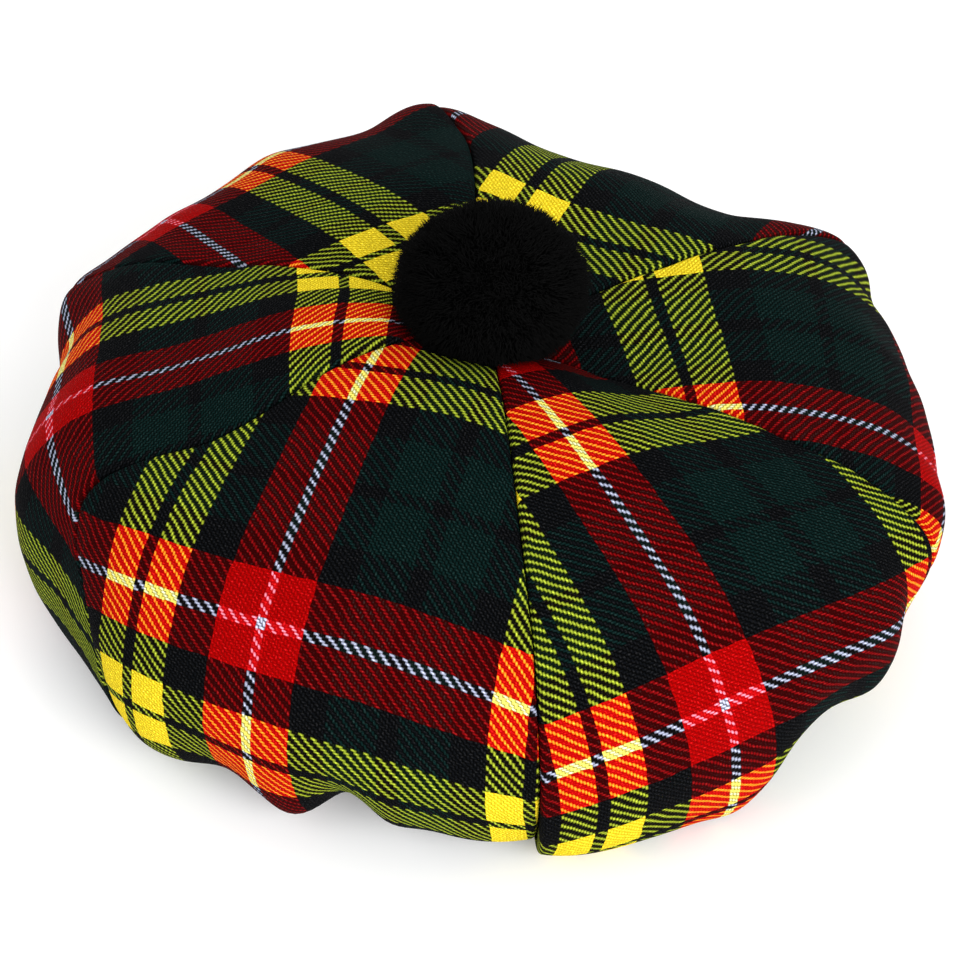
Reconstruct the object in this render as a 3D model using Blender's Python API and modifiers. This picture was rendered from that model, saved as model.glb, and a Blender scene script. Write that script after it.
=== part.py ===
"""Tam o shanter: a six-gore tartan crown with a rolled rim, a headband and a pompom.

The hat rests on its headband at z = 0 with +Z up, and its front seam is towards -Y.
Sizes are millimetres in the constants and tables, and metres in the meshes.
"""

import math
from collections import namedtuple

import bmesh
import bpy
import numpy as np

MM = 0.001

# Driving sizes of the hat.
CLOTH_THICKNESS = 1.4
SEAM_GAP = 0.6

# Where the head's axis stands from the middle of the hat's box: the crown flops to the front.
AXIS_X = 2.2
AXIS_Y = 6.3

# Headband: a folded strip round a head of about 57 cm.
BAND_INNER_R = 90.5
BAND_OUTER_R = 93.2
BAND_HEIGHT = 28.0
BAND_EDGE_R = 0.9
BAND_SIDES = 72

# Crown: every meridian runs from the tie at the middle over these stations to the band.
TIE_HOLE_R = 3.0
TIE_Z = 88.0
INNER_R = 34.0
OUTER_R = 92.0
GATHER_GAP = 0.3
GATHER_R = BAND_OUTER_R + GATHER_GAP
GATHER_Z = 25.0
STATIONS = 7
LAST_STATION = STATIONS - 1
FADE_STATIONS = 0.6

# Puff of the stuffed-looking gores between their seams.
PUFF = 2.0
PUFF_POWER = 2.5
PUFF_STATIONS = (0.0, 0.6, 2.0, 4.0, 5.0, 6.0)
PUFF_UP = (0.0, 0.3, 1.0, 0.1, -0.5, 0.0)
PUFF_OUT = (0.0, 0.0, 0.2, 1.0, 0.5, 0.0)

# Twelve sections: the six seams and the middle of each gore. Azimuth is in degrees from the
# front (-Y) towards +X. The turns swing the top, the brow and the lip from that azimuth.
# Stations: inner ring, outer ring, brow (where the top turns over), rim (widest), lip (lowest).
Section = namedtuple(
    "Section",
    "name azimuth top_turn brow_turn inner_z outer_z brow_r brow_z rim_r rim_z lip_r lip_z lip_turn",
)
SECTIONS = (
    Section("front seam", 6, 0, 0, 102, 96, 130, 79, 148, 42, 138, 9, 0),
    Section("front right", 36, 0, 0, 98, 97, 130, 80, 149, 46, 137, 7, 0),
    Section("front-right seam", 65, -3, 0, 88, 91, 132, 76, 150, 60, 134, 14, 0),
    Section("right", 94, 0, 0, 87, 86, 121, 71, 133, 50, 126, 14, 0),
    Section("back-right seam", 124, -3, 0, 87, 83, 126, 66, 142, 49, 132, 14, 0),
    Section("back right", 155, 0, 0, 88, 79, 115, 62, 126, 42, 121, 14, 0),
    Section("back seam", 188, -4, 0, 98, 89, 122, 74, 135, 54, 129, 16, 0),
    Section("back left", 217, 0, 0, 98, 86, 118, 72, 133, 52, 128, 14, 0),
    Section("back-left seam", 246, 0, 0, 96, 83, 130, 67, 147, 47, 136, 12, 0),
    Section("left", 270, 0, 0, 100, 88, 124, 76, 135, 56, 130, 12, 0),
    Section("front-left seam", 306, -3, -7, 102, 95, 137, 81, 146, 58, 136, 8, 4),
    Section("front left", 336, 0, 0, 103, 97, 130, 80, 148, 44, 138, 11, 0),
)
SECTION_STEP = 360.0 / len(SECTIONS)

# Folds and dents: a soft bump centred on an azimuth and a station. gore is the gore that it
# is kept to, or None for all of them.
Fold = namedtuple("Fold", "name gore azimuth width station reach out up")
FOLDS = (
    Fold("left corner bulge", None, 284, 14, 3.8, 0.9, 7.0, 0.0),
    Fold("left rim swell", None, 289, 8, 4.4, 0.9, 3.5, 0.0),
    Fold("front-left rim swell", None, 315, 8, 4.8, 1.0, 4.0, 0.0),
    Fold("back-left tuck", None, 257, 7, 3.9, 0.9, -4.5, 0.0),
    Fold("back-left nose", None, 246, 6, 3.8, 0.9, 3.5, 0.0),
    Fold("back-left swell", None, 215, 7, 3.3, 0.9, 3.0, 2.5),
    Fold("back-left dip", None, 199, 5, 3.1, 0.8, -2.0, -1.0),
    Fold("back corner peak", None, 189, 7, 3.2, 0.9, 2.5, 3.5),
    Fold("back-right sag", None, 169, 11, 2.9, 1.0, -2.5, -3.5),
    Fold("back-right dent", None, 141, 9, 3.2, 1.1, -3.0, -4.5),
    Fold("back-right dip", None, 133, 5, 3.0, 0.9, -1.5, -1.0),
    Fold("back-right corner", None, 123.5, 6, 3.7, 0.9, 3.0, 0.5),
    Fold("right dent", None, 113, 6, 3.9, 1.0, -4.0, 0.0),
    Fold("right swell", None, 94, 7, 3.9, 1.0, 2.5, 0.0),
    Fold("right dip", None, 78, 5, 4.0, 0.9, -1.5, 0.0),
    Fold("front-right corner tuck", None, 68, 9, 4.9, 0.7, -6.0, 4.0),
    Fold("front-right waist", None, 59, 5, 4.1, 0.7, -5.0, 0.0),
    Fold("front-right under-corner", None, 51, 6, 4.9, 0.6, 9.0, 1.0),
    Fold("right under-roll", None, 47, 9, 5.0, 0.9, -4.0, 14.0),
    Fold("right under-roll end", None, 40, 4, 4.8, 0.7, -1.0, 1.0),
    Fold("front-right lobe", None, 32, 5, 5.0, 0.7, 2.0, -3.0),
    Fold("front hollow", "gore_front_left", 352, 6, 5.0, 0.8, -1.0, 5.0),
    Fold("rim notch", None, 342.5, 4.5, 5.0, 0.9, -5.0, 12.0),
    Fold("notch lobe", None, 335, 4, 5.0, 0.7, 1.0, -2.0),
    Fold("front-left hollow", None, 326, 7, 5.0, 0.8, -2.0, 7.5),
    Fold("front lap over", "gore_front_right", 12, 11, 4.7, 1.3, 2.5, -3.0),
    Fold("front lap under", "gore_front_left", 6, 9, 4.4, 1.4, -1.4, 1.8),
)

# Gores in order of azimuth, starting at the front seam. Each spans two sections.
GORES = (
    "gore_front_right",
    "gore_right",
    "gore_back",
    "gore_back_left",
    "gore_left",
    "gore_front_left",
)
GORE_COLUMNS = 14
GORE_ROWS = 24

# Share of a gore's rows that each station stands at: they are closer together round the rim.
STATION_SHARES = (0.0, 0.10, 0.36, 0.52, 0.68, 0.84, 1.0)

# Pompom: a ball of yarn locks, a little flattened, seated in the dimple.
POMPOM_CENTRE = (AXIS_X + 1.4, AXIS_Y, 108.0)
POMPOM_R = 26.5
POMPOM_FLATNESS = 0.76
LOCK_LENGTH = 3.5
LOCK_TURN = 137.508
POMPOM_SEAT_GAP = 0.8
POMPOM_SUBDIVISIONS = 4


def clear_scene():
    """Remove every object, so that the script can run in any file."""
    for scene_object in list(bpy.data.objects):
        bpy.data.objects.remove(scene_object, do_unlink=True)


def make_material(name, colour, roughness):
    """Return a Principled material of one colour."""
    material = bpy.data.materials.new(name)
    material.use_nodes = True
    shader = material.node_tree.nodes["Principled BSDF"]
    shader.inputs["Base Color"].default_value = (*colour, 1.0)
    shader.inputs["Roughness"].default_value = roughness
    shader.inputs["Metallic"].default_value = 0.0
    return material


def add_object(name, mesh, material, collection):
    """Put a mesh in the scene as an object with its material."""
    mesh.materials.append(material)
    part = bpy.data.objects.new(name, mesh)
    collection.objects.link(part)
    return part


def around(values, position):
    """Read a closed ring of values at section positions, smoothly (Catmull-Rom)."""
    ring = np.asarray(values, float)
    count = len(ring)
    index = np.floor(position).astype(int)
    t = position - index
    before, here = ring[(index - 1) % count], ring[index % count]
    after, beyond = ring[(index + 1) % count], ring[(index + 2) % count]
    slope = (after - before) * t
    curve = (2 * before - 5 * here + 4 * after - beyond) * t**2
    rest = (3 * here - before - 3 * after + beyond) * t**3
    return here + 0.5 * (slope + curve + rest)


def column(name):
    """Return one column of the section table."""
    return [getattr(section, name) for section in SECTIONS]


def section_azimuth(position):
    """Azimuth in degrees at section positions, evenly spaced apart from the table's drift."""
    first = SECTIONS[0].azimuth
    drift = [s.azimuth - first - SECTION_STEP * i for i, s in enumerate(SECTIONS)]
    return first + SECTION_STEP * position + around(drift, position)


def meridian_stations(position):
    """Azimuth, radius and height of the stations of the meridians at section positions."""
    ones = np.ones_like(position)
    rim_azimuth = section_azimuth(position)
    top_azimuth = rim_azimuth + around(column("top_turn"), position)
    brow_azimuth = rim_azimuth + around(column("brow_turn"), position)
    lip_azimuth = rim_azimuth + around(column("lip_turn"), position)
    azimuths = (top_azimuth, top_azimuth, top_azimuth, brow_azimuth, rim_azimuth,
                lip_azimuth, 0.5 * (rim_azimuth + lip_azimuth))
    radii = (0 * ones, INNER_R * ones, OUTER_R * ones, around(column("brow_r"), position),
             around(column("rim_r"), position), around(column("lip_r"), position),
             GATHER_R * ones)
    heights = (TIE_Z * ones, around(column("inner_z"), position),
               around(column("outer_z"), position), around(column("brow_z"), position),
               around(column("rim_z"), position), around(column("lip_z"), position),
               GATHER_Z * ones)
    return np.stack(azimuths, -1), np.stack(radii, -1), np.stack(heights, -1)


def along(values, chords, station, start_slope=None):
    """Read station values along the meridians, smoothly (Hermite with chord tangents)."""
    slopes = np.diff(values, axis=1) / chords
    tangents = np.zeros_like(values)
    left, right = chords[:, :-1], chords[:, 1:]
    tangents[:, 1:-1] = (slopes[:, :-1] * right + slopes[:, 1:] * left) / (left + right)
    tangents[:, 0] = 2 * slopes[:, 0] - tangents[:, 1]
    tangents[:, -1] = 2 * slopes[:, -1] - tangents[:, -2]
    if start_slope is not None:
        tangents[:, 0] = start_slope
    index = np.clip(np.floor(station).astype(int), 0, LAST_STATION - 1)
    t = station - index
    chord = chords[:, index]
    start, end = values[:, index], values[:, index + 1]
    leave, arrive = tangents[:, index] * chord, tangents[:, index + 1] * chord
    return ((2 * t**3 - 3 * t**2 + 1) * start + (t**3 - 2 * t**2 + t) * leave
            + (3 * t**2 - 2 * t**3) * end + (t**3 - t**2) * arrive)


def crown_points(gore, position, station):
    """Points of the crown's outer face, on a grid of section positions and stations."""
    azimuths, radii, heights = meridian_stations(position)
    chords = np.hypot(np.diff(radii, axis=1), np.diff(heights, axis=1))
    azimuth = along(azimuths, chords, station)
    radius = along(radii, chords, station, start_slope=1.0)
    height = along(heights, chords, station, start_slope=0.0)

    across = 2.0 * ((position / 2.0) % 1.0) - 1.0
    puff = PUFF * (1.0 - np.abs(across) ** PUFF_POWER)[:, None]
    radius += puff * np.interp(station, PUFF_STATIONS, PUFF_OUT)
    height += puff * np.interp(station, PUFF_STATIONS, PUFF_UP)

    # A fold fades out just before the gathered edge, which keeps to the band.
    held = np.clip((LAST_STATION - station) / FADE_STATIONS, 0.0, 1.0)
    for fold in FOLDS:
        if fold.gore not in (None, gore):
            continue
        turn = (azimuth - fold.azimuth + 180.0) % 360.0 - 180.0
        weight = np.exp(-(turn / fold.width) ** 2)
        weight = weight * np.exp(-((station - fold.station) / fold.reach) ** 2) * held
        radius = radius + fold.out * weight
        height = height + fold.up * weight

    angle = np.radians(azimuth)
    x = AXIS_X + radius * np.sin(angle)
    y = AXIS_Y - radius * np.cos(angle)
    return np.stack([x, y, height], -1), radius


def station_rows(rows):
    """Station values of the rows of a gore's grid."""
    even = np.linspace(0.0, 1.0, rows + 1)
    return np.interp(even, STATION_SHARES, range(STATIONS))


def build_gore(index, name, material, collection):
    """Build one gore: a grid laid on the crown's face and thickened inwards."""
    shape = bmesh.new()
    bmesh.ops.create_grid(shape, x_segments=GORE_COLUMNS, y_segments=GORE_ROWS, size=1.0)
    across = sorted({round(vert.co.x, 5) for vert in shape.verts})
    down = sorted({round(vert.co.y, 5) for vert in shape.verts})
    stations = station_rows(len(down) - 1)
    stations[0] = TIE_HOLE_R / INNER_R
    middle = 2 * index + 1
    position = middle + np.array(across)
    points, radius = crown_points(name, position, stations)

    # Each edge stands half the seam's gap back from the seam, whatever the radius there.
    half_width = np.maximum(radius * math.radians(SECTION_STEP), 1.0)
    inset = 1.0 - 0.5 * SEAM_GAP / half_width.min(axis=0)
    column_of = {value: i for i, value in enumerate(across)}
    row_of = {value: len(down) - 1 - i for i, value in enumerate(down)}
    middle_column = (len(across) - 1) // 2
    for vert in shape.verts:
        i = column_of[round(vert.co.x, 5)]
        j = row_of[round(vert.co.y, 5)]
        point = points[i, j]
        if i in (0, len(across) - 1):
            towards = points[middle_column, j]
            point = towards + (point - towards) * inset[j]
        vert.co = point * MM
    mesh = bpy.data.meshes.new(name)
    shape.to_mesh(mesh)
    shape.free()
    mesh.shade_smooth()
    part = add_object(name, mesh, material, collection)
    thicken = part.modifiers.new("cloth thickness", "SOLIDIFY")
    thicken.thickness = CLOTH_THICKNESS * MM
    thicken.offset = -1.0
    return part


def build_headband(material, collection):
    """Build the headband: a ring turned from a strip with rounded edges."""
    low, high = BAND_INNER_R + BAND_EDGE_R, BAND_OUTER_R - BAND_EDGE_R
    outline = (
        (high, BAND_HEIGHT), (BAND_OUTER_R, BAND_HEIGHT - BAND_EDGE_R),
        (BAND_OUTER_R, BAND_EDGE_R), (high, 0.0),
        (low, 0.0), (BAND_INNER_R, BAND_EDGE_R),
        (BAND_INNER_R, BAND_HEIGHT - BAND_EDGE_R), (low, BAND_HEIGHT),
    )
    mesh = bpy.data.meshes.new("headband")
    shape = bmesh.new()
    profile = [shape.verts.new((r * MM, 0.0, z * MM)) for r, z in outline]
    for start, end in zip(profile, profile[1:] + profile[:1]):
        shape.edges.new((start, end))
    shape.to_mesh(mesh)
    shape.free()
    band = add_object("headband", mesh, material, collection)
    turn = band.modifiers.new("round the head", "SCREW")
    turn.axis = "Z"
    turn.steps = BAND_SIDES
    turn.render_steps = BAND_SIDES
    turn.use_merge_vertices = True
    turn.merge_threshold = 0.0001
    turn.use_smooth_shade = True
    band.location = (AXIS_X * MM, AXIS_Y * MM, 0.0)
    return band


def seat_height(x, y):
    """Height of the crown's face under the pompom, at a place near the middle."""
    radius = math.hypot(x - AXIS_X, y - AXIS_Y)
    azimuth = math.degrees(math.atan2(x - AXIS_X, AXIS_Y - y))
    position = np.array([(azimuth - SECTIONS[0].azimuth) / SECTION_STEP % len(SECTIONS)])
    stations = np.linspace(0.0, 2.0, 41)
    points, radii = crown_points(None, position, stations)
    return float(np.interp(radius, radii[0], points[0, :, 2]))


def build_pompom(material, collection):
    """Build the pompom: a ball whose points are drawn out to locks and in between them."""
    shape = bmesh.new()
    bmesh.ops.create_icosphere(shape, subdivisions=POMPOM_SUBDIVISIONS, radius=1.0)
    centre_x, centre_y, centre_z = POMPOM_CENTRE
    for number, vert in enumerate(shape.verts):
        direction = vert.co.normalized()
        draw = 0.5 + 0.5 * math.sin(math.radians(LOCK_TURN * number))
        length = POMPOM_R + LOCK_LENGTH * draw
        x = centre_x + direction.x * length
        y = centre_y + direction.y * length
        z = centre_z + direction.z * length * POMPOM_FLATNESS
        if direction.z < 0.0:
            z = max(z, seat_height(x, y) + POMPOM_SEAT_GAP)
        vert.co = (x * MM, y * MM, z * MM)
    mesh = bpy.data.meshes.new("pompom")
    shape.to_mesh(mesh)
    shape.free()
    mesh.shade_smooth()
    return add_object("pompom", mesh, material, collection)


def main():
    """Build the hat."""
    clear_scene()
    collection = bpy.data.collections.new("tam_o_shanter")
    bpy.context.scene.collection.children.link(collection)
    green, red, black = (0.02, 0.09, 0.06), (0.35, 0.02, 0.02), (0.01, 0.01, 0.01)
    for index, name in enumerate(GORES):
        colour = green if index % 2 else red
        cloth = make_material(f"tartan wool {index + 1}", colour, 0.9)
        build_gore(index, name, cloth, collection)
    build_headband(make_material("band wool", black, 0.9), collection)
    build_pompom(make_material("pompom yarn", black, 0.95), collection)


main()
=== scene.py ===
"""Looks of a six-gore tartan tam o shanter with a black pompom.

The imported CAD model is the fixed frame. Every cloth and yarn piece is built here on the same
driving sizes, in millimetres, and written to the meshes in metres. The hat rests on its
headband at z = 0 with +Z up, and its front seam is towards -Y.
"""

from __future__ import annotations

import logging
import math
from dataclasses import dataclass
from enum import Enum
from typing import NamedTuple

import bmesh
import bpy
import numpy as np
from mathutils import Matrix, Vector

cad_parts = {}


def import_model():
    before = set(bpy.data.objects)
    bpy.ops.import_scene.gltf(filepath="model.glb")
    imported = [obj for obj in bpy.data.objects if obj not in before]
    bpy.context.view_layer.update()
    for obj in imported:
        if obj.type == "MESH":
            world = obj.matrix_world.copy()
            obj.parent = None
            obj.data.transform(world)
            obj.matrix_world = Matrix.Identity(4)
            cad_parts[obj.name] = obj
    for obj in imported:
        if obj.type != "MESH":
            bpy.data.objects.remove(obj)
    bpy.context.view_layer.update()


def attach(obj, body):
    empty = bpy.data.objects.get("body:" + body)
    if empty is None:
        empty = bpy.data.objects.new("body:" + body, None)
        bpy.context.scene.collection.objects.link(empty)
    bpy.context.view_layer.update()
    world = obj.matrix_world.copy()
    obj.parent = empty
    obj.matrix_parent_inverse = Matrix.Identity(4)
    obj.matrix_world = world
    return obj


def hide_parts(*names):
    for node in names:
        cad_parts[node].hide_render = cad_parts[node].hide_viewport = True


Array = np.ndarray
Socket = bpy.types.NodeSocket
Triple = tuple[float, float, float]

MM = 0.001
LOG = logging.getLogger("tam_o_shanter")


# --- Small shared tools ---


def linear(colour: str) -> tuple[float, float, float, float]:
    """Turn an sRGB hex colour to the linear values that a shader takes.

    Args:
        colour: six hex digits, such as "b01020".

    Returns:
        Red, green, blue and an alpha of one.
    """
    channels = [int(colour[i:i + 2], 16) / 255.0 for i in (0, 2, 4)]
    red, green, blue = (
        c / 12.92 if c <= 0.04045 else ((c + 0.055) / 1.055) ** 2.4 for c in channels
    )
    return red, green, blue, 1.0


class Graph:
    """The shader nodes of one material, added one by one."""

    def __init__(self, name: str) -> None:
        """Start a material that is named for its finish."""
        self.material = bpy.data.materials.new(name)
        self.material.use_nodes = True
        self.tree = self.material.node_tree
        self.shader = self.tree.nodes["Principled BSDF"].inputs

    def set(self, **values: object) -> None:
        """Set or link the shader's inputs, whose names have "_" for a space."""
        for name, value in values.items():
            self.connect(self.shader[name.replace("_", " ")], value)

    def connect(self, socket: Socket, value: object) -> None:
        """Give an input a value or another node's output."""
        if isinstance(value, Socket):
            self.tree.links.new(value, socket)
        else:
            socket.default_value = value

    def add(self, kind: str, inputs: tuple | dict = (), **settings: object) -> Socket:
        """Add a node with its settings and links.

        Args:
            kind: the node's type without its "ShaderNode" prefix.
            inputs: a value or another node's output for each input, in order or by name.
            settings: attributes of the node.

        Returns:
            The node's first output.
        """
        node = self.tree.nodes.new("ShaderNode" + kind)
        for name, value in settings.items():
            setattr(node, name, value)
        named = inputs if isinstance(inputs, dict) else dict(enumerate(inputs))
        for name, value in named.items():
            self.connect(node.inputs[name], value)
        return node.outputs[0]

    def math(self, operation: str, *values: object, **settings: object) -> Socket:
        """Add one operation on numbers."""
        return self.add("Math", values, operation=operation, **settings)

    def vector(self, operation: str, *values: object) -> Socket:
        """Add one operation on vectors or colours."""
        return self.add("VectorMath", values, operation=operation)

    def scaled(self, value: object, factor: object) -> Socket:
        """Add the product of a colour and a number."""
        return self.add("VectorMath", {0: value, "Scale": factor}, operation="SCALE")

    def mix(self, share: object, first: object, second: object) -> Socket:
        """Add a mix of two numbers."""
        return self.add("Mix", {0: share, 2: first, 3: second})

    def mix_colours(self, share: object, first: object, second: object) -> Socket:
        """Add a mix of two colours."""
        return self.add("Mix", {0: share, 6: first, 7: second},
                        data_type="RGBA").node.outputs[2]

    def noise(self, place: object, scale: float, detail: float, **inputs: float) -> Socket:
        """Add flat noise over a map."""
        return self.add("TexNoise", {"Vector": place, "Scale": scale, "Detail": detail, **inputs},
                        noise_dimensions="2D")

    def relief(self, height: object, depth: float) -> Socket:
        """Add the normals of a relief, whose depth is in millimetres."""
        return self.add("Bump", {"Strength": 1.0, "Distance": depth * MM, "Height": height})


def soft_noise(x: Array, y: Array, seed: float) -> Array:
    """Smooth, repeatable unevenness from -1 to 1, with features about one unit across.

    Args:
        x: first coordinate.
        y: second coordinate.
        seed: a number that gives each piece its own unevenness.

    Returns:
        One value for each coordinate pair.
    """
    total = np.zeros(np.broadcast(x, y).shape)
    for turn in range(5):
        angle = 2.4 * turn + seed
        wave = x * math.cos(angle) + y * math.sin(angle)
        total = total + np.sin(wave * (2.0 + 0.43 * turn) + 1.7 * seed * (turn + 1))
    return total / 3.2


def unit(vectors: Array) -> Array:
    """Scale vectors to a length of one."""
    return vectors / np.maximum(np.linalg.norm(vectors, axis=-1, keepdims=True), 1e-9)


def add_piece(mesh: bpy.types.Mesh, material: bpy.types.Material, slot: str,
              *nodes: str) -> None:
    """Put a mesh in the scene as a piece of the hat.

    Args:
        mesh: the mesh, whose name the piece takes.
        material: its finish.
        slot: the record's material slot; not used.
        nodes: the CAD nodes that it stands for.
    """
    mesh.materials.append(material)
    piece = bpy.data.objects.new(mesh.name, mesh)
    bpy.context.scene.collection.objects.link(piece)
    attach(piece, "root")
    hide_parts(*nodes)
    LOG.info("%s: %d faces", piece.name, len(mesh.polygons))


def outward_of(sheet: Array, row: int) -> tuple[Array, bool]:
    """Normals of a sheet, on the side that faces up at one row of its middle column.

    Args:
        sheet: grid of points.
        row: the row that lies on top.

    Returns:
        The normals, and whether they point against the grid's own order.
    """
    down, over = np.gradient(sheet, axis=1), np.gradient(sheet, axis=0)
    outward = unit(np.cross(over, down))
    flipped = bool(outward[len(sheet) // 2, row][2] < 0.0)
    return (-outward if flipped else outward), flipped


def cloth_sheet(name: str, face: Array, back: Array, pattern: Array,
                closed: bool = False) -> bpy.types.Mesh:
    """Join the face and the back of a piece of cloth to one closed mesh.

    Args:
        name: the mesh's name.
        face: grid of points of the outer side, in millimetres.
        back: the same grid on the inner side.
        pattern: grid of two pattern coordinates.
        closed: whether the first and last columns of the grid are the same.

    Returns:
        The mesh, with the map "cloth" for its pattern and "OFBake" for its textures.
    """
    columns, rows = face.shape[:2]
    shift = columns * rows
    number = np.arange(shift).reshape(columns, rows)
    near, far = number[:-1, :], number[1:, :]
    quads = np.stack([near[:, :-1], far[:, :-1], far[:, 1:], near[:, 1:]], -1).reshape(-1, 4)
    edges = [(number[:-1, 0], number[1:, 0]), (number[1:, -1], number[:-1, -1])]
    if not closed:
        edges += [(number[0, 1:], number[0, :-1]), (number[-1, :-1], number[-1, 1:])]
    walls = [np.stack([b, a, a + shift, b + shift], -1) for a, b in edges]
    faces = np.concatenate([quads, quads[:, ::-1] + shift, *walls])

    # A closed sheet's last column has the points of its first, and its own place on the maps.
    count = shift - rows if closed else shift
    point_of = np.arange(shift) % count
    point_of = np.concatenate([point_of, point_of + count])
    points = np.concatenate([side.reshape(-1, 3)[:count] for side in (face, back)]) * MM
    mesh = bpy.data.meshes.new(name)
    mesh.from_pydata(points.tolist(), [], point_of[faces].tolist())

    # The texture's page: the face on its left half, the back on its right half.
    margin = 0.01
    page = np.stack(np.meshgrid(np.linspace(margin, 0.5 - margin, columns),
                                np.linspace(margin, 1.0 - margin, rows), indexing="ij"), -1)
    for map_name, near_map, far_map in (("cloth", pattern, pattern),
                                        ("OFBake", page, page + (0.5, 0.0))):
        both = np.concatenate([near_map.reshape(-1, 2), far_map.reshape(-1, 2)])
        layer = mesh.uv_layers.new(name=map_name)
        layer.data.foreach_set("uv", both[faces.ravel()].astype(np.float32).ravel())
    mesh.shade_smooth()
    mesh.validate()
    return mesh


# --- Shape of the crown, on the same sizes as the CAD model ---


class Section(NamedTuple):
    """Sizes of the crown at a seam or in the middle of a gore. Angles are from the front."""

    azimuth: float
    top_turn: float
    brow_turn: float
    inner_z: float
    outer_z: float
    brow_r: float
    brow_z: float
    rim_r: float
    rim_z: float
    lip_r: float
    lip_z: float
    lip_turn: float


class Fold(NamedTuple):
    """A soft dent or bulge at an azimuth and a station, on one gore or on all of them."""

    azimuth: float
    width: float
    station: float
    reach: float
    out: float
    up: float = 0.0
    gore: str | None = None


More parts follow.
